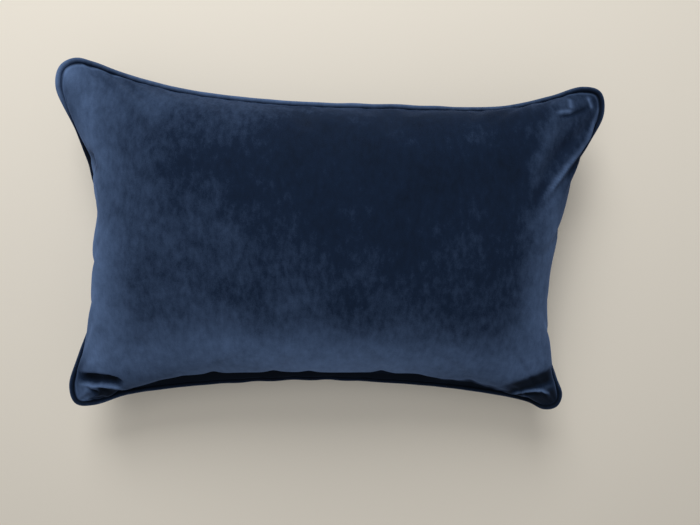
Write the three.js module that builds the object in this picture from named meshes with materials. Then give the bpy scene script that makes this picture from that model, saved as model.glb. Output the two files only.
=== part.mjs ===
// A lumbar cushion in short-pile velvet, edged all round with piping, lying on its back.
// Millimetres. +X runs along the long side, +Y to the top edge of the face, +Z up from
// the surface that the cushion lies on, which is at z = 0.

import * as THREE from "three";
import { mergeVertices } from "three/addons/utils/BufferGeometryUtils.js";

// Driving dimensions.
const SEAM_HEIGHT = 72; // mean height of the seam above the surface
const PIPING_RADIUS = 4; // a cord in a sleeve of the same velvet, 8 mm through
const PIPING_SIDES = 8;
const SEWING_GAP = 0.3; // between the piping and the stitch line of the two panels
const LONG_CELLS = 52; // cells of a panel along the cushion's long side
const SHORT_CELLS = 36; // and along its short side
const CORNER_CROWDING = 0.5; // 0 spaces the cells evenly, 1 crowds them into the corners
const SAMPLES_PER_SIDE = 600; // fine steps with which the length of a side is measured
const LEAST_FILL = 0.35; // a fold leaves at least this share of the crown's height
const FOLD_START = 12; // crown height by which a fold has its full depth; it fades to the seam

// How far each panel stands away from the seam, and how steeply it leaves it. A higher power
// keeps the crown flat for longer, and a higher root makes the wall beside the seam steeper.
const FACE_CROWN = { height: 90, longPower: 2.6, longRoot: 3, shortPower: 2.2, shortRoot: 2.5, cornerLoss: 0.25 };
const BACK_CROWN = { height: 79, longPower: 3, longRoot: 3.8, shortPower: 2.8, shortRoot: 3, cornerLoss: 0.45 };

// Centre line of the piping, clockwise from the upper left ear as seen from above. The sides are
// drawn in between the ears, and rise is the height over the seam's mean plane.
const SEAM = [
  { place: "upper left ear", x: -293, y: 183, rise: 3 },
  { place: "top", x: -279, y: 191, rise: 3 },
  { place: "top", x: -262, y: 188, rise: 3 },
  { place: "top", x: -227, y: 177, rise: 2 },
  { place: "top", x: -163, y: 164, rise: 0 },
  { place: "top", x: -59, y: 157, rise: -1 },
  { place: "top", x: 60, y: 158, rise: 0 },
  { place: "top", x: 182, y: 161, rise: 1 },
  { place: "top", x: 237, y: 174, rise: 2 },
  { place: "top", x: 274, y: 186, rise: 3 },
  { place: "upper right ear", x: 292, y: 182, rise: 3 },
  { place: "right", x: 297, y: 162, rise: 3 },
  { place: "right", x: 283, y: 127, rise: 2 },
  { place: "right", x: 266, y: 92, rise: 0 },
  { place: "right", x: 256, y: 36, rise: -1 },
  { place: "right", x: 252, y: -19, rise: 0 },
  { place: "right", x: 256, y: -79, rise: 1 },
  { place: "right", x: 261, y: -119, rise: 3 },
  { place: "right", x: 273, y: -152, rise: 6 },
  { place: "right", x: 281, y: -172, rise: 8 },
  { place: "lower right ear", x: 277, y: -185, rise: 8 },
  { place: "bottom", x: 265, y: -188, rise: 7 },
  { place: "bottom", x: 243, y: -179, rise: 5 },
  { place: "bottom", x: 166, y: -166, rise: 1 },
  { place: "bottom", x: 77, y: -157, rise: 0 },
  { place: "bottom", x: -20, y: -157, rise: 0 },
  { place: "bottom", x: -138, y: -163, rise: 0 },
  { place: "bottom", x: -237, y: -176, rise: 3 },
  { place: "bottom", x: -275, y: -191, rise: 5 },
  { place: "lower left ear", x: -292, y: -190, rise: 5 },
  { place: "left", x: -297, y: -172, rise: 5 },
  { place: "left", x: -285, y: -132, rise: 3 },
  { place: "left", x: -266, y: -79, rise: 1 },
  { place: "left", x: -258, y: -4, rise: 0 },
  { place: "left", x: -263, y: 66, rise: 0 },
  { place: "left", x: -279, y: 120, rise: 1 },
  { place: "left", x: -297, y: 164, rise: 3 },
];

// Creases of the face by the ears. Each runs from one point to another as a soft trough, where
// the lift is negative, or a soft ridge, and width is the half width of its cross-section.
const FOLDS = [
  { name: "upper right ridge", x1: 277, y1: 135, x2: 230, y2: 56, lift: 3, width: 9 },
  { name: "upper right trough", x1: 262, y1: 136, x2: 214, y2: 58, lift: -8, width: 13 },
  { name: "upper right swell", x1: 236, y1: 154, x2: 198, y2: 62, lift: 4, width: 15 },
  { name: "lower left trough", x1: -280, y1: -152, x2: -240, y2: -160, lift: -8, width: 10 },
  { name: "lower left ridge", x1: -276, y1: -169, x2: -234, y2: -173, lift: 3, width: 8 },
  { name: "lower right hollow", x1: 250, y1: -142, x2: 218, y2: -154, lift: -9, width: 13 },
  { name: "lower right ridge", x1: 260, y1: -168, x2: 222, y2: -170, lift: 3, width: 8 },
  { name: "upper left tuck", x1: -258, y1: 92, x2: -252, y2: 72, lift: -5, width: 9 },
];

// Places where the filling stands a little prouder or has settled, on the face.
const FILLING = [
  { place: "fuller lower third", x: -20, y: -79, lift: 4, reach: 120 },
  { place: "fuller lower left", x: -190, y: -74, lift: 3, reach: 60 },
  { place: "settled middle", x: 60, y: 36, lift: -3, reach: 90 },
  { place: "settled upper right", x: 190, y: 96, lift: -4, reach: 45 },
];

const seamPoints = SEAM.map((row) => new THREE.Vector3(row.x, row.y, SEAM_HEIGHT + row.rise));
const seamCurve = new THREE.CatmullRomCurve3(seamPoints, true, "centripetal");
const up = new THREE.Vector3(0, 0, 1);

function seamIndex(place) {
  return SEAM.findIndex((row) => row.place === place);
}

// Share of a side's length that lies before station k, with the stations closer by the corners.
function stationShare(k, cells) {
  const even = k / cells;
  return even - (CORNER_CROWDING * Math.sin(2 * Math.PI * even)) / (2 * Math.PI);
}

// Stations of the piping's centre line from one ear to the next, without the last one.
function sideStations(fromPlace, toPlace, cells) {
  const start = seamIndex(fromPlace) / SEAM.length;
  const end = seamIndex(toPlace) / SEAM.length;
  const span = (end - start + 1) % 1;
  const samples = [];
  const lengths = [0];
  for (let k = 0; k <= SAMPLES_PER_SIDE; k += 1) {
    samples.push(seamCurve.getPoint((start + (span * k) / SAMPLES_PER_SIDE) % 1));
    if (k > 0) lengths.push(lengths[k - 1] + samples[k].distanceTo(samples[k - 1]));
  }
  const stations = [];
  let next = 1;
  for (let k = 0; k < cells; k += 1) {
    const wanted = lengths[SAMPLES_PER_SIDE] * stationShare(k, cells);
    while (lengths[next] < wanted) next += 1;
    const part = (wanted - lengths[next - 1]) / (lengths[next] - lengths[next - 1]);
    stations.push(samples[next - 1].clone().lerp(samples[next], part));
  }
  return stations;
}

// The closed ring of stations, each with the level direction from the piping in to the filling.
function pipingRing() {
  const centres = [
    ...sideStations("upper left ear", "upper right ear", LONG_CELLS),
    ...sideStations("upper right ear", "lower right ear", SHORT_CELLS),
    ...sideStations("lower right ear", "lower left ear", LONG_CELLS),
    ...sideStations("lower left ear", "upper left ear", SHORT_CELLS),
  ];
  return centres.map((centre, k) => {
    const before = centres[(k + centres.length - 1) % centres.length];
    const after = centres[(k + 1) % centres.length];
    const along = after.clone().sub(before).normalize();
    const inward = along.clone().cross(up).normalize();
    return { centre, along, inward };
  });
}

// A body from a list of points and a list of four-cornered facets that face out.
function bodyFromFacets(points, facets) {
  const geometry = new THREE.BufferGeometry();
  geometry.setAttribute("position", new THREE.Float32BufferAttribute(points.flatMap((p) => p.toArray()), 3));
  geometry.setIndex(facets.flatMap(([a, b, c, d]) => [a, b, c, a, c, d]));
  const closed = mergeVertices(geometry);
  closed.computeVertexNormals();
  return closed;
}

// The piping: one closed loop of cord, with a corner of its section facing the stitch line.
function pipingGeometry(ring) {
  const points = [];
  const facets = [];
  ring.forEach(({ centre, along, inward }, k) => {
    const rising = inward.clone().cross(along).normalize();
    const nextRow = ((k + 1) % ring.length) * PIPING_SIDES;
    for (let side = 0; side < PIPING_SIDES; side += 1) {
      const angle = (2 * Math.PI * side) / PIPING_SIDES;
      const offset = inward.clone().multiplyScalar(PIPING_RADIUS * Math.cos(angle));
      points.push(offset.addScaledVector(rising, PIPING_RADIUS * Math.sin(angle)).add(centre));
      const nextSide = (side + 1) % PIPING_SIDES;
      const row = k * PIPING_SIDES;
      facets.push([row + side, nextRow + side, nextRow + nextSide, row + nextSide]);
    }
  });
  return bodyFromFacets(points, facets);
}

// Height of a crown at a place of the panel, where across and along run from -1 to 1.
function crownHeight(crown, across, along) {
  const overLength = (1 - Math.abs(across) ** crown.longPower) ** (1 / crown.longRoot);
  const overWidth = (1 - Math.abs(along) ** crown.shortPower) ** (1 / crown.shortRoot);
  const corner = 1 - crown.cornerLoss * (across * along) ** 2;
  return crown.height * overLength * overWidth * corner;
}

function foldLift(fold, x, y) {
  const runX = fold.x2 - fold.x1;
  const runY = fold.y2 - fold.y1;
  const share = ((x - fold.x1) * runX + (y - fold.y1) * runY) / (runX ** 2 + runY ** 2);
  const nearest = THREE.MathUtils.clamp(share, 0, 1);
  const distance = Math.hypot(x - fold.x1 - nearest * runX, y - fold.y1 - nearest * runY);
  return fold.lift * Math.exp(-((distance / fold.width) ** 2));
}

function fillingLift(spot, x, y) {
  return spot.lift * Math.exp(-(((x - spot.x) ** 2 + (y - spot.y) ** 2) / spot.reach ** 2));
}

// A place inside the stitch line, blended from the four sides of the panel.
function blendSides(ring, i, j) {
  const s = stationShare(i, LONG_CELLS);
  const t = stationShare(j, SHORT_CELLS);
  const stitch = (k) => {
    const { centre, inward } = ring[k % ring.length];
    return centre.clone().addScaledVector(inward, PIPING_RADIUS + SEWING_GAP);
  };
  const top = stitch(i);
  const right = stitch(LONG_CELLS + j);
  const bottom = stitch(2 * LONG_CELLS + SHORT_CELLS - i);
  const left = stitch(2 * LONG_CELLS + 2 * SHORT_CELLS - j);
  const place = top.multiplyScalar(1 - t).addScaledVector(bottom, t);
  place.addScaledVector(left, 1 - s).addScaledVector(right, s);
  place.addScaledVector(stitch(0), -(1 - s) * (1 - t));
  place.addScaledVector(stitch(LONG_CELLS), -s * (1 - t));
  place.addScaledVector(stitch(LONG_CELLS + SHORT_CELLS), -s * t);
  place.addScaledVector(stitch(2 * LONG_CELLS + SHORT_CELLS), -(1 - s) * t);
  return place;
}

function facePoint(place, across, along) {
  const crown = crownHeight(FACE_CROWN, across, along);
  const folds = FOLDS.reduce((sum, fold) => sum + foldLift(fold, place.x, place.y), 0);
  const filling = FILLING.reduce((sum, spot) => sum + fillingLift(spot, place.x, place.y), 0);
  const fullness = crown / FACE_CROWN.height;
  const foldShare = Math.min(1, crown / FOLD_START);
  const height = Math.max(crown + folds * foldShare + filling * fullness, crown * LEAST_FILL);
  return new THREE.Vector3(place.x, place.y, place.z + height);
}

// The back hangs below the seam and is pressed flat where it meets the surface.
function backPoint(place, across, along) {
  const depth = crownHeight(BACK_CROWN, across, along);
  return new THREE.Vector3(place.x, place.y, Math.max(0, place.z - depth));
}

// The face and back panels, sewn together at the stitch line, as one filled body.
function filledCoverGeometry(ring) {
  const points = [];
  const facets = [];
  const columns = LONG_CELLS + 1;
  const panelSize = columns * (SHORT_CELLS + 1);
  for (const makePoint of [facePoint, backPoint]) {
    for (let j = 0; j <= SHORT_CELLS; j += 1) {
      for (let i = 0; i <= LONG_CELLS; i += 1) {
        const across = 2 * stationShare(i, LONG_CELLS) - 1;
        const along = 2 * stationShare(j, SHORT_CELLS) - 1;
        points.push(makePoint(blendSides(ring, i, j), across, along));
      }
    }
  }
  for (let j = 0; j < SHORT_CELLS; j += 1) {
    for (let i = 0; i < LONG_CELLS; i += 1) {
      const corner = j * columns + i;
      const face = [corner, corner + columns, corner + columns + 1, corner + 1];
      facets.push(face);
      facets.push(face.map((k) => k + panelSize).reverse());
    }
  }
  return bodyFromFacets(points, facets);
}

const velvet = new THREE.MeshStandardMaterial({ color: "#22344f", roughness: 0.9, metalness: 0 });
const pipingVelvet = new THREE.MeshStandardMaterial({ color: "#1b2a44", roughness: 0.9, metalness: 0 });

const ring = pipingRing();
const filledCover = new THREE.Mesh(filledCoverGeometry(ring), velvet);
filledCover.name = "filled_cover";
const piping = new THREE.Mesh(pipingGeometry(ring), pipingVelvet);
piping.name = "piping";

const cushion = new THREE.Group();
cushion.add(filledCover, piping);

// The origin lies on the surface under the middle of the cushion's box.
const middle = new THREE.Box3().setFromObject(cushion).getCenter(new THREE.Vector3());
cushion.position.set(-middle.x, -middle.y, 0);

export default cushion;
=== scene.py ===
"""A lumbar cushion in deep blue velvet with self-covered piping, lying on its back.

The cover is two panels sewn together at a stitch line. They start flat, as they are cut, are
drawn in to the seam's real line and are filled by pressure in a cloth simulation. The folds and
dents that the simulation is too coarse for are then pressed in as listed. The tables below are in
millimetres, in the frame's axes: x along the long side, y to the face's top edge, z up.
"""

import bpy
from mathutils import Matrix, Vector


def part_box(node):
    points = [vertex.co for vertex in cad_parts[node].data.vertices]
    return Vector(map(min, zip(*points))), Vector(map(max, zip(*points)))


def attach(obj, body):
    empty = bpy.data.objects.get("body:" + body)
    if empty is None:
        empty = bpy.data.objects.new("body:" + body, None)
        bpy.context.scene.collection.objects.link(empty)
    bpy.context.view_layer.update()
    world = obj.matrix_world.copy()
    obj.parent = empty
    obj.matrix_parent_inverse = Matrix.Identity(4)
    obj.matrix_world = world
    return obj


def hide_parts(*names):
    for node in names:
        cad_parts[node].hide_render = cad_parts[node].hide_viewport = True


bl_info = {
    "name": "Velvet Lumbar Cushion",
    "version": (1, 0, 0),
    "blender": (4, 5, 0),
    "location": "3D View > Sidebar > Cushion",
    "description": "Adds a filled velvet cushion, its piping and a plain stage",
    "category": "Add Mesh",
}

import math
from collections import namedtuple

import bpy
import numpy as np
from mathutils import Matrix, Vector
from mathutils.kdtree import KDTree

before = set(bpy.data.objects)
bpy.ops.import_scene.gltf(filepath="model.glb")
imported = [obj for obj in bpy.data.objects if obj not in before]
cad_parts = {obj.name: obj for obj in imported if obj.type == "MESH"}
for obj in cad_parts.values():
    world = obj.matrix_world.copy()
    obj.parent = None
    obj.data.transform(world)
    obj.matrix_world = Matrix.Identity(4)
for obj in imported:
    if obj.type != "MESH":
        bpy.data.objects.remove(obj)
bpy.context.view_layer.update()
MM = 0.001

# The seam.

SeamPoint = namedtuple("SeamPoint", "place x y rise")
# Centre line of the piping in mm, clockwise from the upper left ear as seen from above, with
# its rise over the seam's mean plane. The sides are drawn in between the ears.
SEAM = (
    SeamPoint("upper left ear", -293, 183, 3),
    SeamPoint("top", -279, 191, 3),
    SeamPoint("top", -262, 188, 3),
    SeamPoint("top", -227, 177, 2),
    SeamPoint("top", -163, 164, 0),
    SeamPoint("top", -59, 157, -1),
    SeamPoint("top", 60, 158, 0),
    SeamPoint("top", 182, 161, 1),
    SeamPoint("top", 237, 174, 2),
    SeamPoint("top", 274, 186, 3),
    SeamPoint("upper right ear", 292, 182, 3),
    SeamPoint("right", 297, 162, 3),
    SeamPoint("right", 283, 127, 2),
    SeamPoint("right", 266, 92, 0),
    SeamPoint("right", 256, 36, -1),
    SeamPoint("right", 252, -19, 0),
    SeamPoint("right", 256, -79, 1),
    SeamPoint("right", 261, -119, 3),
    SeamPoint("right", 273, -152, 6),
    SeamPoint("right", 281, -172, 8),
    SeamPoint("lower right ear", 277, -185, 8),
    SeamPoint("bottom", 265, -188, 7),
    SeamPoint("bottom", 243, -179, 5),
    SeamPoint("bottom", 166, -167, 1),
    SeamPoint("bottom", 77, -160, 0),
    SeamPoint("bottom", -20, -157.5, 0),
    SeamPoint("bottom", -138, -165, 0),
    SeamPoint("bottom", -190, -171, 1),
    SeamPoint("bottom", -237, -178.5, 3),
    SeamPoint("bottom", -275, -191, 5),
    SeamPoint("lower left ear", -292, -190, 5),
    SeamPoint("left", -297, -172, 5),
    SeamPoint("left", -285, -132, 3),
    SeamPoint("left", -266, -79, 1),
    SeamPoint("left", -258, -4, 0),
    SeamPoint("left", -263, 66, 0),
    SeamPoint("left", -279, 120, 1),
    SeamPoint("left", -297, 164, 3),
)
EARS = ("upper left ear", "upper right ear", "lower right ear", "lower left ear")
SEAM_HEIGHT = 72  # of the seam's mean plane over the surface, mm
SPAN_STEPS = 48  # points on the line between two rows of the table
EAR_CROWDING = 0.7  # 0 spaces stations evenly along a side, 1 crowds them into the ears
SPLINE_POWER = 0.5  # centripetal: no loops where the rows stand close
SEAM_REACH = 4.0  # from the seam table's line out to the piping's outer edge, mm

Pucker = namedtuple("Pucker", "x y reach length sway")
# Stretches where the seam is gathered into small waves, in mm.
PUCKERS = (
    Pucker(256, 50, 70, 26, 0.9),
    Pucker(-262, 30, 90, 31, 0.8),
    Pucker(60, 158, 150, 47, 0.35),
    Pucker(-40, -158, 160, 43, 0.6),
)
PUCKER_RISE = 0.7  # how far a wave rises and falls, as a share of its sway

# The cover.

CutCorner = namedtuple("CutCorner", "ear x y")
# Corners of a panel as it is cut, before they are rounded, in mm. The cover is a little out of
# square at its lower right.
CUT = (
    CutCorner("upper left ear", -304.5, 197),
    CutCorner("upper right ear", 304.5, 194),
    CutCorner("lower right ear", 289.5, -194),
    CutCorner("lower left ear", -304.5, -198),
)
CORNER_STEPS = 16  # points on each half of a rounded corner

LONG_CELLS = 124  # cells of a panel along the cushion's long side
SHORT_CELLS = 96
STITCH_SHARE = 0.85  # of the piping's thickness, from its outer edge in to the stitch line
DRAW_FRAMES = 10  # simulation steps in which the sides are drawn in
FILL_FRAMES = 26  # steps in all

# How the velvet gives and how soon it comes to rest, in the simulation's own units.
CLOTH = {
    "quality": 6,
    "mass": 0.3,
    "shear_stiffness": 5,
    "bending_stiffness": 0.5,
    "tension_damping": 10,
    "compression_damping": 10,
    "shear_damping": 10,
    "bending_damping": 1,
}
TABLE_FRICTION = 5
TABLE_SIZE = 2.0  # metres

Crown = namedtuple("Crown", "face back")
# Heights of the panels over and under the seam's plane, in mm.
FLAT_CROWN = Crown(4, -4)  # as cut, with the panels just apart
DRAWN_CROWN = Crown(45, -40)  # in the drawn-in shape, of which only the stitch line is followed
LEAST_CROWN = 60  # the face has to rise this far for the filling to have worked

CUT_MAP_FACE = (0.5, 0.22)  # where the face's middle lies in the map of the cut cloth, in metres
CUT_MAP_BACK = 0.45  # metres from there up to the back's middle

Relax = namedtuple("Relax", "x y reach passes")
# Places where the filling smooths the face's diagonal creases out, in mm.
RELAXED = (
    Relax(-225, -135, 55, 40),
    Relax(-190, -100, 60, 40),
)
LEAST_DISTANCE = 1e-6  # mm, so that a point on a fold's own line isn't divided by 0
RELAX_STEP = 0.5  # share of the way to the neighbours' mean that a point goes in one pass

Ditch = namedtuple("Ditch", "side start end crevice wall")
# Stretches, from start to end, where the face stands back from its seam: by crevice just over
# the stitch line and by wall higher up, in mm.
DITCHES = (
    Ditch("bottom", -190, 122, 13, 7),
    Ditch("bottom", -235, -195, 5, 3),
    Ditch("bottom", 135, 195, 6, 3.5),
    Ditch("left", 78, 118, 5, 9.5),
    Ditch("left", 14, 78, 0, 8),
    Ditch("left", -130, -100, 0, 3),
    Ditch("right", -85, 5, 0, 5),
)
CREVICE_HEIGHT = 7  # mm over the stitch line where a crevice is deepest
WALL_HEIGHT = 30  # mm over the stitch line where a wall stands fully back
DITCH_FADE = 60  # mm over which a ditch runs out at its ends
DITCH_REACH = 70  # mm from the seam to where the face is as it was filled

Fold = namedtuple("Fold", "name lift left right edge pinch light path")
# Creases of the face. lift is the height of the ridge or, below 0, the depth of the trough, left
# and right are its half widths on each side of the path, and pinch draws the cloth together
# towards its line, all in mm. edge is 2 for a soft fold and 4 for one with steep sides. light is
# the painted highlight along the fold, or painted shade in it below 0.
FOLDS = (
    Fold("upper right ridge", 2.5, 3, 2.5, 2, 0.8, 0,
         ((293, 160), (279, 133), (265, 116), (252, 102), (236, 81), (221, 60))),
    Fold("upper right brow", 0.6, 2.2, 2.2, 2, 0, 0.5,
         ((300, 178), (291, 160), (279, 134), (265, 117), (251, 103), (235, 82), (219, 60))),
    Fold("upper right gutter", -2, 3, 3, 2, 0, -0.15,
         ((294, 153), (285, 132), (272, 113), (260, 99), (248, 85))),
    Fold("upper right trough", -3.5, 9, 12, 2, 1, -0.12,
         ((266, 140), (249, 122), (236, 102), (224, 80), (206, 50))),
    Fold("upper right swell", 2, 9, 9, 2, 0, 0.14,
         ((246, 162), (230, 140), (220, 112), (210, 84), (202, 60))),
    Fold("upper right crease", -1.8, 2, 3, 2, 0.8, -0.25,
         ((278, 166), (266, 161), (254, 157), (238, 154))),
    Fold("upper right lip", 0.8, 2, 2, 2, 0, 0.6,
         ((258, 161), (246, 160), (236, 158))),
    Fold("upper right stroke", -1, 2.5, 2.5, 2, 0.5, 0.65,
         ((277, 180), (285, 166))),
    Fold("upper right tuck", -1, 2.5, 2.5, 2, 0.5, 0.55,
         ((256, 177), (255, 164))),
    Fold("lower left gap", -8, 5, 9, 4, 1, -1,
         ((-290, -157), (-275, -155), (-262, -153.5), (-247, -152.5), (-238, -154), (-230, -160))),
    Fold("lower left ridge", 1.5, 1.6, 1.6, 2, 0, 0.55,
         ((-288, -167), (-275, -165.5), (-261, -164), (-246, -163), (-237, -165), (-229, -170))),
    Fold("lower left pocket", -4, 3, 9, 4, 1, -2,
         ((-264, -168), (-246, -170), (-226, -175))),
    Fold("lower left wrinkle", -2.5, 2.5, 2.5, 2, 0.5, -0.5,
         ((-278, -169), (-270, -172), (-262, -174))),
    Fold("lower left hem", -2, 3, 3, 2, 0, -0.6,
         ((-278, -187), (-265, -183), (-255, -179))),
    Fold("lower left pleat", 1, 1.8, 1.8, 2, 0, 0.5,
         ((-259, -172), (-252, -177))),
    Fold("lower right hollow", -4, 12, 10, 4, 1, -0.95,
         ((272, -139), (258, -142), (246, -146), (234, -150), (220, -154), (203, -160))),
    Fold("lower right ridge", 2.5, 1.6, 2, 2, 0, 1,
         ((212, -171), (224, -166), (232, -161.5), (244, -160), (254, -161), (262, -165),
          (266, -174))),
    Fold("lower right slit", -2, 2.2, 2.2, 2, 0, -1,
         ((222, -171), (232, -166), (244, -164.5), (254, -166))),
    Fold("lower right pleat", 1, 1.8, 1.8, 2, 0, 0.6,
         ((230, -168), (238, -171))),
    Fold("upper left tuck", -4, 7, 5, 2, 1, -0.7,
         ((-262, 100), (-256, 85), (-251, 74))),
    Fold("upper left ridge", 1.5, 6, 6, 2, 0, 0.05,
         ((-288, 160), (-276, 126), (-262, 96))),
    Fold("pressed dent", -1.6, 4, 9, 2, 0, -0.1,
         ((-204, -92), (-199, -107))),
)
FOLD_ENDS = 0.3  # share of a fold's run over which it dies away at each end
FOLD_TIP = 0.15  # how much of that ease a fold's tip already has

PaintedLight = namedtuple("PaintedLight", "place x y reach_x reach_y light")
# Painted light and sheen on the face, or painted shade below 0, each row round a place, in mm.
PAINTED_LIGHT_ON_FACE = (
    PaintedLight("left rim", -262, 30, 14, 130, 0.5),
    PaintedLight("left edge", -262, -20, 42, 170, 0.7),
    PaintedLight("left half", -160, -10, 110, 110, 0.15),
    PaintedLight("upper left", -190, 140, 75, 40, 0.1),
    PaintedLight("upper left ear", -262, 158, 40, 32, 0.08),
    PaintedLight("upper left tip", -289, 179, 15, 15, 0.65),
    PaintedLight("top rim", -120, 154, 110, 14, 0.14),
    PaintedLight("top right rim", 180, 152, 110, 14, -0.1),
    PaintedLight("upper right ear", 250, 150, 40, 30, 0.18),
    PaintedLight("right wall", 241, 42, 14, 42, 0.35),
    PaintedLight("lower band", 0, -130, 215, 47, 1.12),
    PaintedLight("lower left ear", -283, -177, 15, 20, 0.85),
    PaintedLight("lower left floor", -264, -177, 18, 6, -0.4),
    PaintedLight("lower right ear", 256, -174, 20, 12, -0.75),
    PaintedLight("right side", 238, -45, 34, 100, 0.62),
    PaintedLight("darkest part", 20, 90, 200, 60, -0.1),
)
# Painted shade in the crevice under the bottom wall.
PAINTED_SHADE_UNDER_WALL = PaintedLight("under the bottom wall", -10, -164, 230, 25, -2.2)
UNDER_WALL_HEIGHT = 12  # mm over the seam's plane up to which that patch is at its full
# Painted light, and painted shade below 0, on the piping in the same way.
PAINTED_LIGHT_ON_PIPING = (
    PaintedLight("top", -60, 165, 240, 30, 0.5),
    PaintedLight("upper left ear", -292, 165, 25, 30, 0.5),
    PaintedLight("upper left tip", -292, 180, 18, 16, 0.6),
    PaintedLight("left", -275, 95, 30, 50, -0.4),
    PaintedLight("right", 285, 120, 30, 55, -0.1),
    PaintedLight("lower right", 248, -178, 22, 12, -0.5),
    PaintedLight("under the bottom wall", -10, -165, 230, 14, -0.3),
)
PIPING_PAINTED_LIGHT_TURN = 0.4  # painted light on the side turned away from the cushion, and painted shade on the side turned to it
PAINTED_SHADE_IN_SEAM = -0.4  # painted shade in the ditch by the piping
SEAM_SHADE = 4  # mm from the stitch line in to where that painted shade has gone
PAINTED_HIGHLIGHT_ON_LIP = 0.25  # painted highlight where the panel rolls over beside the ditch
LIP = 3.8  # mm from the stitch line to the lip's line
LIP_WIDTH = 1.4  # mm, half

Swell = namedtuple("Swell", "x y reach lift")
# Places where the filling stands a little prouder or has settled, in mm.
FILLING = (
    Swell(-20, -79, 120, 4),
    Swell(-190, -74, 60, 3),
    Swell(60, 36, 90, -3),
    Swell(190, 96, 45, -4),
)

PIPING_STATIONS = 764  # round the seam, 2.5 mm apart
PIPING_ROUNDNESS = 6  # the bevel's resolution, which gives 16 sides
PIPING_UNEVEN = 0.02  # share by which the sewn sleeve swells and narrows
PIPING_WAVE = 31  # mm from one swelling to the next

# The velvet.

PATCH_SIZE = 55  # mm, broad clouds where hands have brushed the pile
STROKE_SIZE = 7  # mm, short strokes in them
STROKE_STRETCH = 0.55  # a stroke's width as a share of its length
STROKE_TURN = 0.25  # radians from the cloth's grain
FIBRE_SIZE = 1.2  # mm: real pile is under 0.1 mm thick, too fine to show, so tufts are drawn
# How strongly each of the three shows.
PATCH_WEIGHT = 0.8
STROKE_WEIGHT = 0.8
FIBRE_WEIGHT = 0.3
MOTTLE_MIDDLE = 0.95  # the mottle's mean, taken off so that it lightens as much as it darkens
MOTTLE_AT_REST = 0.55  # how strong the mottle is where no painted light or shade lies
MOTTLE_IN_PAINTED_LIGHT = 0.5  # and how much stronger for each 1 of painted light
PILE_STANDING = 0.2  # place of the velvet's own dark colour between painted shade, 0, and painted light, 1
PILE_SPREAD = 0.5  # share of that range for painted light of 1
TUFT_DEPTH = 0.5 * MM  # how deep the tufts look
TUFT_STRENGTH = 0.25

# The stage.

Lamp = namedtuple("Lamp", "name place size")
# Square lamps beyond the face's top edge, where the photo's light comes from, in metres.
KEY_LAMP = Lamp("key", (-0.35, 1.5, 1.25), 0.9)
FRONT_LAMP = Lamp("front", (-0.3, 0.6, 1.9), 1.2)
LIT_PLACE = (0, 0, 0.08)  # inside the cushion, where the lamps point
ROOM_LIGHT = 0.3  # strength of the even light from all round
FLOOR_SIZE = 8.0  # metres

# The photo's view of the face, as angles from its normal and distances in mm.
VIEW = {
    "lens": 29.98,
    "sensor": 36,
    "above": 10.0,
    "left": 3.5,
    "roll": -1.6,
    "distance": 672,
    "aside": -20,
    "raised": 14,
}
VIEW_CENTRE = (0.0, -3.65, SEAM_HEIGHT)  # point of the seam's plane that they are given from


def linear_rgb(hex_colour):
    """An sRGB hex colour as linear red, green and blue."""
    parts = [int(hex_colour[k:k + 2], 16) / 255 for k in (0, 2, 4)]
    return [c / 12.92 if c <= 0.04045 else ((c + 0.055) / 1.055) ** 2.4 for c in parts]


def soft_step(x):
    """Eases from 0 to 1 as x goes from 0 to 1."""
    x = np.clip(x, 0.0, 1.0)
    return x * x * (3 - 2 * x)


class CushionCoverSettings(bpy.types.PropertyGroup):
    """Sizes and colours of the filled cover."""

    corner_radius: bpy.props.FloatProperty(
        name="Corner radius", description="Rounding of the panels' corners as cut",
        default=22 * MM, unit="LENGTH", subtype="DISTANCE")
    pressure: bpy.props.FloatProperty(
        name="Filling pressure", description="How hard the filling pushes the panels out",
        default=55.0)
    stretch: bpy.props.FloatProperty(
        name="Stiffness", description="Resistance of the velvet to stretching", default=25.0)
    # Painted shade in the creases, the crevices and by the seam, and the dark side of the mottle.
    painted_shade_and_mottle: bpy.props.FloatVectorProperty(
        name="Painted shade and mottle", description="Painted shade in the creases, the crevices and by the seam, and the mottle's dark side",
        default=linear_rgb("070e18"), subtype="COLOR", size=3)
    pile_dark: bpy.props.FloatVectorProperty(
        name="Pile from above", description="Velvet where the pile points at the eye",
        default=linear_rgb("101d31"), subtype="COLOR", size=3)
    # Painted light and sheen, and the light side of the mottle.
    painted_light_and_mottle: bpy.props.FloatVectorProperty(
        name="Painted light and mottle", description="Painted light and sheen, and the mottle's light side",
        default=linear_rgb("627ba4"), subtype="COLOR", size=3)
    sheen_tint: bpy.props.FloatVectorProperty(
        name="Sheen", description="Colour of the light that the pile's sides send back",
        default=linear_rgb("7fa4e6"), subtype="COLOR", size=3)


class CushionPipingSettings(bpy.types.PropertyGroup):
    """Sizes of the piping."""

    radius: bpy.props.FloatProperty(
        name="Radius", description="Half the thickness of the covered cord",
        default=2.9 * MM, unit="LENGTH", subtype="DISTANCE")


class CushionStageSettings(bpy.types.PropertyGroup):
    """The floor's colour and the lights' power."""

    floor_colour: bpy.props.FloatVectorProperty(
        name="Floor", description="Colour of the plain floor",
        default=linear_rgb("e4ddd0"), subtype="COLOR", size=3)
    key_power: bpy.props.FloatProperty(
        name="Key light", description="Power of the light beyond the top edge",
        default=26.0, unit="POWER")
    front_power: bpy.props.FloatProperty(
        name="Front light", description="Power of the light over the face",
        default=9.0, unit="POWER")


def only(obj):
    """Makes an object the only one selected, and the active one."""
    bpy.ops.object.select_all(action="DESELECT")
    obj.select_set(True)
    bpy.context.view_layer.objects.active = obj


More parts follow.
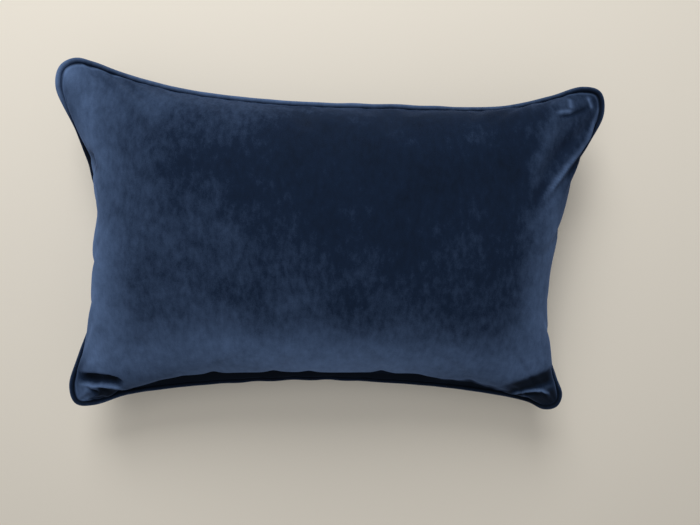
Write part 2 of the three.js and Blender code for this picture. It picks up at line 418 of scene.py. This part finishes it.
def new_object(name, vertices, faces):
    """A mesh object at the origin, with its vertices in metres."""
    mesh = bpy.data.meshes.new(name)
    mesh.from_pydata([tuple(v) for v in vertices.tolist()], [], [tuple(f) for f in faces])
    mesh.update()
    obj = bpy.data.objects.new(name, mesh)
    bpy.context.collection.objects.link(obj)
    return obj


def coordinates(mesh):
    """The mesh's vertices, in metres."""
    flat = np.empty(len(mesh.vertices) * 3)
    mesh.vertices.foreach_get("co", flat)
    return flat.reshape(-1, 3)


def normals(mesh):
    """The way that each vertex faces."""
    flat = np.empty(len(mesh.vertices) * 3)
    mesh.vertex_normals.foreach_get("vector", flat)
    return flat.reshape(-1, 3)


def move_vertices(mesh, points):
    """Puts the mesh's vertices at the points, in metres."""
    mesh.vertices.foreach_set("co", points.ravel())
    mesh.update()


def check_closed(obj):
    """Stops the script where a piece has an open or a stray edge."""
    edges = np.empty(len(obj.data.loops), dtype=int)
    obj.data.loops.foreach_get("edge_index", edges)
    if (np.bincount(edges, minlength=len(obj.data.edges)) != 2).any():
        raise RuntimeError(f"{obj.name} isn't closed")


# The seam's line.

def spline_span(p0, p1, p2, p3, steps):
    """Points from p1 up to p2 of a centripetal spline."""
    t0 = 0.0
    t1 = t0 + np.linalg.norm(p1 - p0) ** SPLINE_POWER
    t2 = t1 + np.linalg.norm(p2 - p1) ** SPLINE_POWER
    t3 = t2 + np.linalg.norm(p3 - p2) ** SPLINE_POWER
    t = np.linspace(t1, t2, steps, endpoint=False)[:, None]
    a1 = (t1 - t) / (t1 - t0) * p0 + (t - t0) / (t1 - t0) * p1
    a2 = (t2 - t) / (t2 - t1) * p1 + (t - t1) / (t2 - t1) * p2
    a3 = (t3 - t) / (t3 - t2) * p2 + (t - t2) / (t3 - t2) * p3
    b1 = (t2 - t) / (t2 - t0) * a1 + (t - t0) / (t2 - t0) * a2
    b2 = (t3 - t) / (t3 - t1) * a2 + (t - t1) / (t3 - t1) * a3
    return (t2 - t) / (t2 - t1) * b1 + (t - t1) / (t2 - t1) * b2


def ring_directions(points):
    """Unit directions along a closed clockwise line, and level from it to the inside."""
    along = np.roll(points, -1, axis=0) - np.roll(points, 1, axis=0)
    along /= np.linalg.norm(along, axis=1)[:, None]
    inward = np.cross(along, (0.0, 0.0, 1.0))
    inward /= np.linalg.norm(inward, axis=1)[:, None]
    return along, inward


def seam_line():
    """The piping's centre line in mm, where the frame's piping node has it."""
    rows = np.array([(p.x, p.y, SEAM_HEIGHT + p.rise) for p in SEAM], dtype=float)
    count = len(rows)
    spans = [
        spline_span(rows[k - 1], rows[k], rows[(k + 1) % count], rows[(k + 2) % count], SPAN_STEPS)
        for k in range(count)
    ]
    line = np.vstack(spans)
    low, high = (np.array(corner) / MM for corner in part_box("piping"))
    own_middle = (line.min(axis=0) + line.max(axis=0)) / 2
    line[:, :2] += ((low + high) / 2 - own_middle)[:2]
    steps = np.linalg.norm(line - np.roll(line, 1, axis=0), axis=1)
    run = np.cumsum(steps)
    inward = ring_directions(line)[1]
    for p in PUCKERS:
        far = np.hypot(line[:, 0] - p.x, line[:, 1] - p.y)
        share = soft_step(1 - far / p.reach)
        phase = 2 * np.pi * run / p.length
        line += inward * (p.sway * share * np.sin(phase))[:, None]
        line[:, 2] += PUCKER_RISE * p.sway * share * np.cos(phase)
    return line


def moved_in(line, distance):
    """The closed line moved level towards its inside, in mm."""
    return line + ring_directions(line)[1] * distance


def ear_index(ear):
    """Number of the seam line's point at an ear."""
    return next(k for k, p in enumerate(SEAM) if p.place == ear) * SPAN_STEPS


def spaced_shares(cells):
    """Shares of a side's length at its stations, closer together by the ears."""
    even = np.arange(cells + 1) / cells
    return even - EAR_CROWDING * np.sin(2 * np.pi * even) / (2 * np.pi)


def spaced_points(points, cells):
    """Stations on an open line."""
    lengths = np.r_[0, np.cumsum(np.linalg.norm(np.diff(points, axis=0), axis=1))]
    wanted = spaced_shares(cells) * lengths[-1]
    return np.column_stack([np.interp(wanted, lengths, points[:, k]) for k in range(3)])


def seam_sides(line):
    """The closed line as its four sides, each from ear to ear and clockwise."""
    marks = [ear_index(ear) for ear in EARS]
    sides = []
    for k, cells in enumerate((LONG_CELLS, SHORT_CELLS, LONG_CELLS, SHORT_CELLS)):
        start, end = marks[k], marks[(k + 1) % 4]
        picked = np.arange(start, end + 1 if end > start else end + len(line) + 1) % len(line)
        sides.append(spaced_points(line[picked], cells))
    return sides


def cut_sides(corner_radius):
    """The sides of a panel as cut, in mm, from the middle of each rounded corner to the next."""
    corners = np.array([(c.x, c.y) for c in CUT], dtype=float)
    arcs = []
    for k in range(4):
        here = corners[k]
        back = corners[k - 1] - here
        on = corners[(k + 1) % 4] - here
        back /= np.linalg.norm(back)
        on /= np.linalg.norm(on)
        half = math.acos(float(back @ on)) / 2
        middle = here + (back + on) / np.linalg.norm(back + on) * corner_radius / math.sin(half)
        first = here + back * corner_radius / math.tan(half) - middle
        turn = math.pi - 2 * half
        angles = math.atan2(first[1], first[0]) - np.linspace(0, turn, 2 * CORNER_STEPS + 1)
        arcs.append(middle + corner_radius * np.column_stack([np.cos(angles), np.sin(angles)]))
    sides = []
    for k, cells in enumerate((LONG_CELLS, SHORT_CELLS, LONG_CELLS, SHORT_CELLS)):
        flat = np.vstack([arcs[k][CORNER_STEPS:], arcs[(k + 1) % 4][:CORNER_STEPS + 1]])
        sides.append(spaced_points(np.column_stack([flat, np.zeros(len(flat))]), cells))
    return sides


def blend_sides(sides):
    """A grid of points inside four sides, rows from the top edge down."""
    top, right, bottom, left = sides[0], sides[1], sides[2][::-1], sides[3][::-1]
    s = spaced_shares(LONG_CELLS)[None, :, None]
    t = spaced_shares(SHORT_CELLS)[:, None, None]
    rows = (1 - t) * top[None] + t * bottom[None]
    columns = (1 - s) * left[:, None] + s * right[:, None]
    of_top = (1 - s) * top[0] + s * top[-1]
    of_bottom = (1 - s) * bottom[0] + s * bottom[-1]
    return rows + columns - ((1 - t) * of_top + t * of_bottom)


# The filled cover.

def dome():
    """A plain crown over the grid, 0 at the seam and 1 in the middle."""
    across = 2 * spaced_shares(LONG_CELLS)[None, :] - 1
    along = 2 * spaced_shares(SHORT_CELLS)[:, None] - 1
    return np.sqrt(np.clip(1 - across ** 2, 0, 1) * np.clip(1 - along ** 2, 0, 1))


def crowned(grid, height):
    """The grid with a crown of a height in mm, downwards where it is below 0."""
    lifted = grid.copy()
    lifted[..., 2] += dome() * height
    return lifted


def cover_numbers():
    """Vertex numbers of the face's grid and the back's, which share the stitch line."""
    face = np.arange((LONG_CELLS + 1) * (SHORT_CELLS + 1)).reshape(SHORT_CELLS + 1, LONG_CELLS + 1)
    back = face.copy()
    inner = (SHORT_CELLS - 1) * (LONG_CELLS - 1)
    back[1:-1, 1:-1] = face.size + np.arange(inner).reshape(SHORT_CELLS - 1, LONG_CELLS - 1)
    return face, back


def cover_points(grid, crown):
    """Both panels' vertices over one grid, in metres, crowned to the heights given."""
    face = crowned(grid, crown.face).reshape(-1, 3)
    back = crowned(grid, crown.back)[1:-1, 1:-1].reshape(-1, 3)
    return np.vstack([face, back]) * MM


def cover_faces(face, back):
    """Quads of both panels, each facing out."""
    quads = []
    for grid, order in ((face, (0, 1, 2, 3)), (back, (3, 2, 1, 0))):
        corners = (grid[:-1, :-1], grid[1:, :-1], grid[1:, 1:], grid[:-1, 1:])
        quads += np.stack([corners[k] for k in order], axis=-1).reshape(-1, 4).tolist()
    return quads


def lay_cut_map(obj, cut_grid, face, back):
    """A UV map of the panels as cut, in metres, side by side: the face below the back."""
    flat = np.zeros((len(obj.data.vertices), 2))
    flat[face.ravel()] = cut_grid[..., :2].reshape(-1, 2) * MM
    flat[back[1:-1, 1:-1].ravel()] = cut_grid[1:-1, 1:-1, :2].reshape(-1, 2) * MM
    uv = obj.data.uv_layers.new(name="cut")
    corners = np.empty(len(obj.data.loops), dtype=int)
    obj.data.loops.foreach_get("vertex_index", corners)
    per_corner = flat[corners] + CUT_MAP_FACE
    half = len(corners) // 2
    per_corner[half:, 1] += CUT_MAP_BACK
    uv.data.foreach_set("uv", per_corner.ravel())


def add_table():
    """A plain table top for the cloth to settle on, taken away afterwards."""
    bpy.ops.object.select_all(action="DESELECT")
    bpy.ops.mesh.primitive_plane_add(size=TABLE_SIZE, location=(0, 0, -MM))
    table = bpy.context.object
    bpy.ops.object.modifier_add(type="COLLISION")
    table.collision.thickness_outer = MM
    table.collision.cloth_friction = TABLE_FRICTION
    return table


def fill_cover(obj, settings):
    """Draws the flat cover in to its seam and fills it, and leaves it a plain mesh."""
    drawn_in = obj.data.shape_keys.key_blocks["drawn in"]
    drawn_in.value = 0.0
    drawn_in.keyframe_insert("value", frame=1)
    drawn_in.value = 1.0
    drawn_in.keyframe_insert("value", frame=DRAW_FRAMES)
    table = add_table()
    only(obj)
    bpy.ops.object.modifier_add(type="CLOTH")
    cloth = obj.modifiers[-1]
    for name, value in CLOTH.items():
        setattr(cloth.settings, name, value)
    cloth.settings.tension_stiffness = settings.stretch
    cloth.settings.compression_stiffness = settings.stretch
    cloth.settings.vertex_group_mass = "stitch line"
    cloth.settings.use_pressure = True
    cloth.settings.uniform_pressure_force = settings.pressure
    cloth.settings.effector_weights.gravity = 0.0
    cloth.collision_settings.use_self_collision = False
    cloth.collision_settings.distance_min = MM
    cloth.point_cache.frame_start = 1
    cloth.point_cache.frame_end = FILL_FRAMES + 1
    for step in range(1, FILL_FRAMES + 1):
        bpy.context.scene.frame_set(step)
    only(obj)
    bpy.ops.object.convert(target="MESH")
    only(table)
    bpy.ops.object.delete()
    bpy.context.scene.frame_set(1)
    if coordinates(obj.data)[:, 2].max() < (SEAM_HEIGHT + LEAST_CROWN) * MM:
        raise RuntimeError("the filling didn't raise the face")


def settle(points, stitch_height):
    """Brings the lowest points of the back down to the surface, flat where they touch."""
    lowest = points[:, 2].min()
    below = np.clip((stitch_height - points[:, 2]) / (stitch_height - lowest), 0, 1)
    points[:, 2] -= lowest * below
    points[:, 2] = np.maximum(points[:, 2], 0.0)


def relax(grid):
    """Smooths a panel's grid where RELAXED says, and leaves its edge alone."""
    for spot in RELAXED:
        for _ in range(spot.passes):
            far = np.hypot(grid[1:-1, 1:-1, 0] / MM - spot.x, grid[1:-1, 1:-1, 1] / MM - spot.y)
            share = soft_step(1 - far / spot.reach)[..., None] * RELAX_STEP
            around = (grid[:-2, 1:-1] + grid[2:, 1:-1] + grid[1:-1, :-2] + grid[1:-1, 2:]) / 4
            grid[1:-1, 1:-1] += (around - grid[1:-1, 1:-1]) * share


def nearest_on_path(x, y, path):
    """Each point's distance and way to a bent line, its side, and the share of the run there."""
    best = np.full(x.shape, np.inf)
    to_x, to_y, share = np.zeros_like(x), np.zeros_like(x), np.zeros_like(x)
    on_left = np.zeros(x.shape, dtype=bool)
    corners = np.array(path, dtype=float)
    lengths = np.r_[0, np.cumsum(np.linalg.norm(np.diff(corners, axis=0), axis=1))]
    for k in range(len(corners) - 1):
        (ax, ay), (bx, by) = corners[k], corners[k + 1]
        run = (bx - ax) ** 2 + (by - ay) ** 2
        t = np.clip(((x - ax) * (bx - ax) + (y - ay) * (by - ay)) / run, 0, 1)
        dx, dy = ax + t * (bx - ax) - x, ay + t * (by - ay) - y
        far = np.hypot(dx, dy)
        nearer = far < best
        best = np.where(nearer, far, best)
        to_x, to_y = np.where(nearer, dx, to_x), np.where(nearer, dy, to_y)
        on_left = np.where(nearer, (bx - ax) * -dy + (by - ay) * dx > 0, on_left)
        along = (lengths[k] + t * (lengths[k + 1] - lengths[k])) / lengths[-1]
        share = np.where(nearer, along, share)
    return best, to_x, to_y, on_left, share


def stand_back(points, face_share, line):
    """Draws the face's walls back from the seam where DITCHES says. Points in metres."""
    high = points[:, 2] / MM - SEAM_HEIGHT
    crevice = soft_step(high / CREVICE_HEIGHT)
    crevice *= 1 - soft_step((high - CREVICE_HEIGHT) / WALL_HEIGHT)
    wall = soft_step(high / WALL_HEIGHT)
    for ditch in DITCHES:
        inward, run = {"bottom": (1, 0), "left": (0, 1), "right": (0, 1)}[ditch.side]
        axis = 1 - run
        sign = -1 if ditch.side == "right" else 1
        seam = line[line[:, axis] * sign < 0]
        seam = seam[np.argsort(seam[:, run])]
        along = points[:, run] / MM
        off_seam = (points[:, axis] / MM - np.interp(along, seam[:, run], seam[:, axis])) * sign
        share = soft_step(1 - off_seam / DITCH_REACH) * face_share
        share *= soft_step((along - ditch.start) / DITCH_FADE + 0.5)
        share *= soft_step((ditch.end - along) / DITCH_FADE + 0.5)
        points[:, axis] += sign * MM * share * (ditch.crevice * crevice + ditch.wall * wall)


def crease(points, outward, face_share):
    """Presses the folds and swells into the face, and returns their painted highlights and shade.
    """
    x, y = points[:, 0] / MM, points[:, 1] / MM
    light = np.zeros(len(points))
    for fold in FOLDS:
        far, to_x, to_y, on_left, share = nearest_on_path(x, y, fold.path)
        width = np.where(on_left, fold.left, fold.right)
        fade = soft_step(FOLD_TIP + np.minimum(share, 1 - share) / FOLD_ENDS)
        strength = np.exp(-(far / width) ** fold.edge) * fade * face_share
        points += outward * (fold.lift * MM * strength)[:, None]
        near = np.maximum(far, LEAST_DISTANCE)
        pull = fold.pinch * MM * strength * np.minimum(far / width, 1) / near
        points[:, 0] += to_x * pull
        points[:, 1] += to_y * pull
        # Painted highlight along a fold, or painted shade in it below 0.
        light += fold.light * strength
    for swell in FILLING:
        far = np.hypot(x - swell.x, y - swell.y)
        points[:, 2] += swell.lift * MM * np.exp(-(far / swell.reach) ** 2) * face_share
    return light


def painted_light_of_patches(points, patches):
    """The painted light, or below 0 painted shade, that the patches lay on each point. Points in
    metres.
    """
    light = np.zeros(len(points))
    for nap in patches:
        across = (points[:, 0] / MM - nap.x) / nap.reach_x
        along = (points[:, 1] / MM - nap.y) / nap.reach_y
        light += nap.light * np.exp(-across ** 2 - along ** 2)
    return light


def distance_to_line(points, line):
    """From each point to a closed line, in mm."""
    tree = KDTree(len(line))
    for k, place in enumerate(line):
        tree.insert(place, k)
    tree.balance()
    return np.array([tree.find(place)[2] for place in points])


def set_point_values(mesh, name, values):
    """Keeps a number for each vertex on the mesh, for the velvet to read."""
    layer = mesh.attributes.new(name, "FLOAT", "POINT")
    layer.data.foreach_set("value", values)


def point_values(mesh, name):
    """The numbers kept on the mesh under this name, one for each vertex."""
    values = np.empty(len(mesh.vertices))
    mesh.attributes[name].data.foreach_get("value", values)
    return values


def flat_cover(settings, stitch):
    """The two panels as cut, joined at the stitch line: the object, its numbers and its ring."""
    cut = blend_sides(cut_sides(settings.corner_radius / MM))
    face, back = cover_numbers()
    flat = cover_points(cut + (0, 0, SEAM_HEIGHT), FLAT_CROWN)
    obj = new_object("filled_cover_velvet", flat, cover_faces(face, back))
    lay_cut_map(obj, cut, face, back)
    ring = sorted(set(np.r_[face[0], face[-1], face[:, 0], face[:, -1]].tolist()))
    group = obj.vertex_groups.new(name="stitch line")
    group.add(ring, 1.0, "REPLACE")
    obj.shape_key_add(name="as cut")
    key = obj.shape_key_add(name="drawn in")
    key.data.foreach_set("co", cover_points(stitch, DRAWN_CROWN).ravel())
    fill_cover(obj, settings)
    return obj, face, ring


def subdivide_cover(obj, ring):
    """One subdivision, which leaves the stitch line where it is."""
    on_ring = np.zeros(len(obj.data.vertices), dtype=bool)
    on_ring[ring] = True
    ends = np.empty(len(obj.data.edges) * 2, dtype=int)
    obj.data.edges.foreach_get("vertices", ends)
    both = on_ring[ends.reshape(-1, 2)].all(axis=1)
    kept = obj.data.attributes.new("crease_edge", "FLOAT", "EDGE")
    kept.data.foreach_set("value", both.astype(float))
    only(obj)
    bpy.ops.object.modifier_add(type="SUBSURF")
    obj.modifiers[-1].levels = 1
    obj.modifiers[-1].render_levels = 1
    bpy.ops.object.modifier_apply(modifier=obj.modifiers[-1].name)


def painted_light_of_cover(points, share, to_seam):
    """Painted light, sheen and shade on the face and the back, before the folds. share is 0 on the
    back.
    """
    high = points[:, 2] / MM - SEAM_HEIGHT
    pile = painted_light_of_patches(points, PAINTED_LIGHT_ON_FACE)
    # Painted shade in the crevice under the bottom wall.
    pile += painted_light_of_patches(points, [PAINTED_SHADE_UNDER_WALL]) * soft_step(2 - high / UNDER_WALL_HEIGHT) * share
    # Painted shade in the ditch by the piping, and a painted highlight on the lip beside it.
    pile += PAINTED_SHADE_IN_SEAM * soft_step(1 - to_seam / SEAM_SHADE)
    pile += PAINTED_HIGHLIGHT_ON_LIP * np.exp(-((to_seam - LIP) / LIP_WIDTH) ** 2) * share
    return pile


def add_cover(settings, piping_radius):
    """The filled cover, with its folds pressed in and its painted light and shade."""
    line = moved_in(seam_line(), 2 * STITCH_SHARE * piping_radius / MM - SEAM_REACH)
    obj, face, ring = flat_cover(settings, blend_sides(seam_sides(line)))
    points = coordinates(obj.data)
    settle(points, SEAM_HEIGHT * MM)
    grid = points[face]
    relax(grid)
    points[face.ravel()] = grid.reshape(-1, 3)
    move_vertices(obj.data, points)

    of_face = np.zeros(len(points))
    of_face[face.ravel()] = 1.0
    of_face[ring] = 0.0
    set_point_values(obj.data, "face_share", of_face)
    subdivide_cover(obj, ring)

    points = coordinates(obj.data)
    share = point_values(obj.data, "face_share")
    to_seam = distance_to_line(points / MM, line)
    stand_back(points, share, line)
    move_vertices(obj.data, points)
    # The velvet reads "pile" as painted light and sheen, and painted shade below 0.
    pile = painted_light_of_cover(points, share, to_seam)
    pile += crease(points, normals(obj.data), share)
    set_point_values(obj.data, "pile", pile)
    points[:, 2] = np.maximum(points[:, 2], 0.0)
    move_vertices(obj.data, points)
    only(obj)
    bpy.ops.object.shade_smooth()
    check_closed(obj)
    return obj


def add_piping(radius):
    """The covered cord: a closed curve along the seam, given its thickness and made a mesh."""
    line = moved_in(seam_line(), radius / MM - SEAM_REACH)
    closed = np.vstack([line, line[:1]])
    run = np.r_[0, np.cumsum(np.linalg.norm(np.diff(closed, axis=0), axis=1))]
    even = np.arange(PIPING_STATIONS) / PIPING_STATIONS * run[-1]
    centres = np.column_stack([np.interp(even, run, closed[:, k]) for k in range(3)])
    bpy.ops.object.select_all(action="DESELECT")
    bpy.ops.curve.primitive_bezier_circle_add()
    curve = bpy.context.object.data
    curve.splines.clear()
    spline = curve.splines.new("POLY")
    spline.points.add(PIPING_STATIONS - 1)
    spline.use_cyclic_u = True
    for k, (x, y, z) in enumerate(centres * MM):
        spline.points[k].co = (x, y, z, 1)
        spline.points[k].radius = 1 + PIPING_UNEVEN * math.sin(2 * math.pi * even[k] / PIPING_WAVE)
    curve.bevel_depth = radius
    curve.bevel_resolution = PIPING_ROUNDNESS
    bpy.ops.object.convert(target="MESH")
    obj = bpy.context.object
    obj.name = "piping_velvet"
    obj.data.name = "piping_velvet"

    sleeve = obj.data.uv_layers[0]
    sleeve.name = "sleeve"
    uv = np.empty(len(obj.data.loops) * 2)
    sleeve.uv.foreach_get("vector", uv)
    uv = uv.reshape(-1, 2) * (run[-1] * MM, 2 * math.pi * radius)
    sleeve.uv.foreach_set("vector", uv.ravel())
    points = coordinates(obj.data)
    sides, spare = divmod(len(points), PIPING_STATIONS)
    if spare:
        raise RuntimeError("the piping's rings aren't all alike")
    outward = -np.repeat(ring_directions(centres)[1], sides, axis=0)
    facing_out = np.einsum("ij,ij->i", normals(obj.data), outward)
    # Painted light on the piping's outer side and where the light falls on it, painted shade on
    # its inner side and where it lies in shade.
    set_point_values(obj.data, "pile", painted_light_of_patches(points, PAINTED_LIGHT_ON_PIPING) + PIPING_PAINTED_LIGHT_TURN * facing_out)
    only(obj)
    bpy.ops.object.shade_smooth()
    check_closed(obj)
    return obj


# Materials.

def node(tree, kind, inputs=None, **settings):
    """Adds a node with its settings. An input is a value or another node's output."""
    made = tree.nodes.new(kind)
    for key, value in settings.items():
        setattr(made, key, value)
    for key, value in (inputs or {}).items():
        if isinstance(value, bpy.types.NodeSocket):
            tree.links.new(value, made.inputs[key])
        else:
            made.inputs[key].default_value = value
    return made


def per_metre(mm):
    """A noise scale whose features are about this many mm across."""
    return 1000 / mm


def colour(rgb):
    """The colour with full opacity."""
    return (*rgb, 1.0)


def velvet(name, map_name, settings):
    """Cotton velvet, woven and brushed.

    Its short pile is dark where it points at the eye and mottled where hands have brushed it.
    Soft-edged painted light and sheen, and painted shade, lie over that and along the folds. The
    attribute "pile" holds them: 0 for the velvet's own colour, 1 for painted light, below 0 for
    painted shade.
    """
    material = bpy.data.materials.new(name)
    material.use_nodes = True
    tree = material.node_tree
    tree.nodes.clear()
    cloth = node(tree, "ShaderNodeUVMap", uv_map=map_name).outputs["UV"]
    patches = node(
        tree, "ShaderNodeTexNoise",
        {"Vector": cloth, "Scale": per_metre(PATCH_SIZE), "Detail": 5, "Roughness": 0.6})
    brushed = node(
        tree, "ShaderNodeMapping",
        {"Vector": cloth, "Scale": (1, STROKE_STRETCH, 1), "Rotation": (0, 0, STROKE_TURN)})
    strokes = node(
        tree, "ShaderNodeTexNoise",
        {"Vector": brushed.outputs["Vector"], "Scale": per_metre(STROKE_SIZE), "Detail": 4,
         "Roughness": 0.65})
    fibres = node(
        tree, "ShaderNodeTexNoise",
        {"Vector": cloth, "Scale": per_metre(FIBRE_SIZE), "Detail": 2})
    mottle = -MOTTLE_MIDDLE
    weighted = ((patches, PATCH_WEIGHT), (strokes, STROKE_WEIGHT), (fibres, FIBRE_WEIGHT))
    for noise, weight in weighted:
        mottle = node(
            tree, "ShaderNodeMath", {0: noise.outputs["Fac"], 1: weight, 2: mottle},
            operation="MULTIPLY_ADD").outputs["Value"]
    # The attribute read here holds painted light and sheen, and painted shade below 0.
    painted_light = node(tree, "ShaderNodeAttribute", attribute_name="pile").outputs["Fac"]
    contrast = node(
        tree, "ShaderNodeMath", {0: painted_light, 1: MOTTLE_IN_PAINTED_LIGHT, 2: MOTTLE_AT_REST},
        operation="MULTIPLY_ADD")
    mottle_and_painted_light = node(
        tree, "ShaderNodeMath", {0: mottle, 1: contrast.outputs["Value"], 2: painted_light},
        operation="MULTIPLY_ADD")
    place = node(
        tree, "ShaderNodeMath", {0: mottle_and_painted_light.outputs["Value"], 1: PILE_SPREAD, 2: PILE_STANDING},
        operation="MULTIPLY_ADD", use_clamp=True)
    # The ramp runs from painted shade through the velvet's own dark colour to painted light and
    # sheen; the mottle moves along it as well.
    tone = node(tree, "ShaderNodeValToRGB", {"Fac": place.outputs["Value"]})
    stops = tone.color_ramp.elements
    stops[0].color = colour(settings.painted_shade_and_mottle)
    stops[1].color = colour(settings.painted_light_and_mottle)
    stops.new(PILE_STANDING).color = colour(settings.pile_dark)
    tufts = node(
        tree, "ShaderNodeBump",
        {"Height": fibres.outputs["Fac"], "Strength": TUFT_STRENGTH, "Distance": TUFT_DEPTH})
    shader = node(
        tree, "ShaderNodeBsdfPrincipled",
        {
            "Base Color": tone.outputs["Color"],
            "Normal": tufts.outputs["Normal"],
            "Roughness": 0.9,
            "Specular IOR Level": 0.08,
            "Sheen Weight": 0.2,
            "Sheen Roughness": 0.4,
            "Sheen Tint": colour(settings.sheen_tint),
        })
    node(tree, "ShaderNodeOutputMaterial", {"Surface": shader.outputs["BSDF"]})
    return material


def painted_board(rgb):
    """Matt emulsion on board: plain and without gloss, so that only the cushion draws the eye."""
    material = bpy.data.materials.new("matt painted board")
    material.use_nodes = True
    shader = material.node_tree.nodes["Principled BSDF"]
    shader.inputs["Base Color"].default_value = colour(rgb)
    shader.inputs["Roughness"].default_value = 0.9
    return material


# Operators.

class CUSHION_OT_add_cover(bpy.types.Operator):
    """Add the filled velvet cover"""

    bl_idname = "cushion.add_cover"
    bl_label = "Filled cover"

    def execute(self, context):
        settings = context.scene.cushion_cover
        cover = add_cover(settings, context.scene.cushion_piping.radius)
        cover.data.materials.append(velvet("cotton velvet, brushed pile", "cut", settings))
        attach(cover, "root")
        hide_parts("filled_cover")
        return {"FINISHED"}


class CUSHION_OT_add_piping(bpy.types.Operator):
    """Add the piping round the seam"""

    bl_idname = "cushion.add_piping"
    bl_label = "Piping"

    def execute(self, context):
        piping = add_piping(context.scene.cushion_piping.radius)
        piping.data.materials.append(
            velvet("cotton velvet, bias sleeve", "sleeve", context.scene.cushion_cover))
        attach(piping, "root")
        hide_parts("piping")
        return {"FINISHED"}


def add_lamp(lamp, power):
    """A square lamp turned to the cushion."""
    bpy.ops.object.light_add(type="AREA", location=lamp.place)
    light = bpy.context.object
    light.name = lamp.name
    light.data.shape = "SQUARE"
    light.data.size = lamp.size
    light.data.energy = power
    to_cushion = Vector(LIT_PLACE) - Vector(lamp.place)
    light.rotation_euler = to_cushion.to_track_quat("-Z", "Y").to_euler()


def add_camera(context):
    """Looks at the face as the photo does."""
    turn = (
        Matrix.Rotation(math.radians(VIEW["roll"]), 3, "Z")
        @ Matrix.Rotation(math.radians(VIEW["left"]), 3, "Y")
        @ Matrix.Rotation(math.radians(VIEW["above"]), 3, "X")
    )
    offset = Vector((VIEW["aside"], VIEW["raised"], -VIEW["distance"]))
    place = (Vector(VIEW_CENTRE) - turn.transposed() @ offset) * MM
    bpy.ops.object.camera_add()
    camera = context.object
    camera.name = "camera"
    camera.data.sensor_width = VIEW["sensor"]
    camera.data.lens = VIEW["lens"]
    camera.matrix_world = Matrix.Translation(place) @ turn.transposed().to_4x4()
    context.scene.camera = camera


class CUSHION_OT_add_stage(bpy.types.Operator):
    """Add the floor, the lights and the camera"""

    bl_idname = "cushion.add_stage"
    bl_label = "Stage"

    def execute(self, context):
        settings = context.scene.cushion_stage
        bpy.ops.object.select_all(action="DESELECT")
        bpy.ops.mesh.primitive_plane_add(size=FLOOR_SIZE, location=(0, 0, 0))
        floor = context.object
        floor.name = "floor"
        floor.data.materials.append(painted_board(settings.floor_colour))
        add_lamp(KEY_LAMP, settings.key_power)
        add_lamp(FRONT_LAMP, settings.front_power)
        world = bpy.data.worlds.new("studio")
        world.use_nodes = True
        room = world.node_tree.nodes["Background"]
        room.inputs["Color"].default_value = (1, 1, 1, 1)
        room.inputs["Strength"].default_value = ROOM_LIGHT
        context.scene.world = world
        context.scene.view_settings.view_transform = "Standard"
        add_camera(context)
        return {"FINISHED"}


class CUSHION_PT_sidebar(bpy.types.Panel):
    """The cushion's settings and a button for each of its pieces"""

    bl_idname = "CUSHION_PT_sidebar"
    bl_label = "Cushion"
    bl_space_type = "VIEW_3D"
    bl_region_type = "UI"
    bl_category = "Cushion"

    def draw(self, context):
        column = self.layout.column(align=True)
        scene = context.scene
        for settings in (scene.cushion_cover, scene.cushion_piping, scene.cushion_stage):
            for name in settings.__annotations__:
                column.prop(settings, name)
        for operator in OPERATORS:
            column.operator(operator.bl_idname)


OPERATORS = (CUSHION_OT_add_cover, CUSHION_OT_add_piping, CUSHION_OT_add_stage)
SETTINGS = (CushionCoverSettings, CushionPipingSettings, CushionStageSettings)
CLASSES = (*SETTINGS, *OPERATORS, CUSHION_PT_sidebar)


def register():
    for each in CLASSES:
        bpy.utils.register_class(each)
    bpy.types.Scene.cushion_cover = bpy.props.PointerProperty(type=CushionCoverSettings)
    bpy.types.Scene.cushion_piping = bpy.props.PointerProperty(type=CushionPipingSettings)
    bpy.types.Scene.cushion_stage = bpy.props.PointerProperty(type=CushionStageSettings)


def unregister():
    del bpy.types.Scene.cushion_stage
    del bpy.types.Scene.cushion_piping
    del bpy.types.Scene.cushion_cover
    for each in reversed(CLASSES):
        bpy.utils.unregister_class(each)


def main():
    register()
    bpy.ops.cushion.add_cover()
    bpy.ops.cushion.add_piping()
    bpy.ops.cushion.add_stage()


if __name__ == "__main__":
    main()
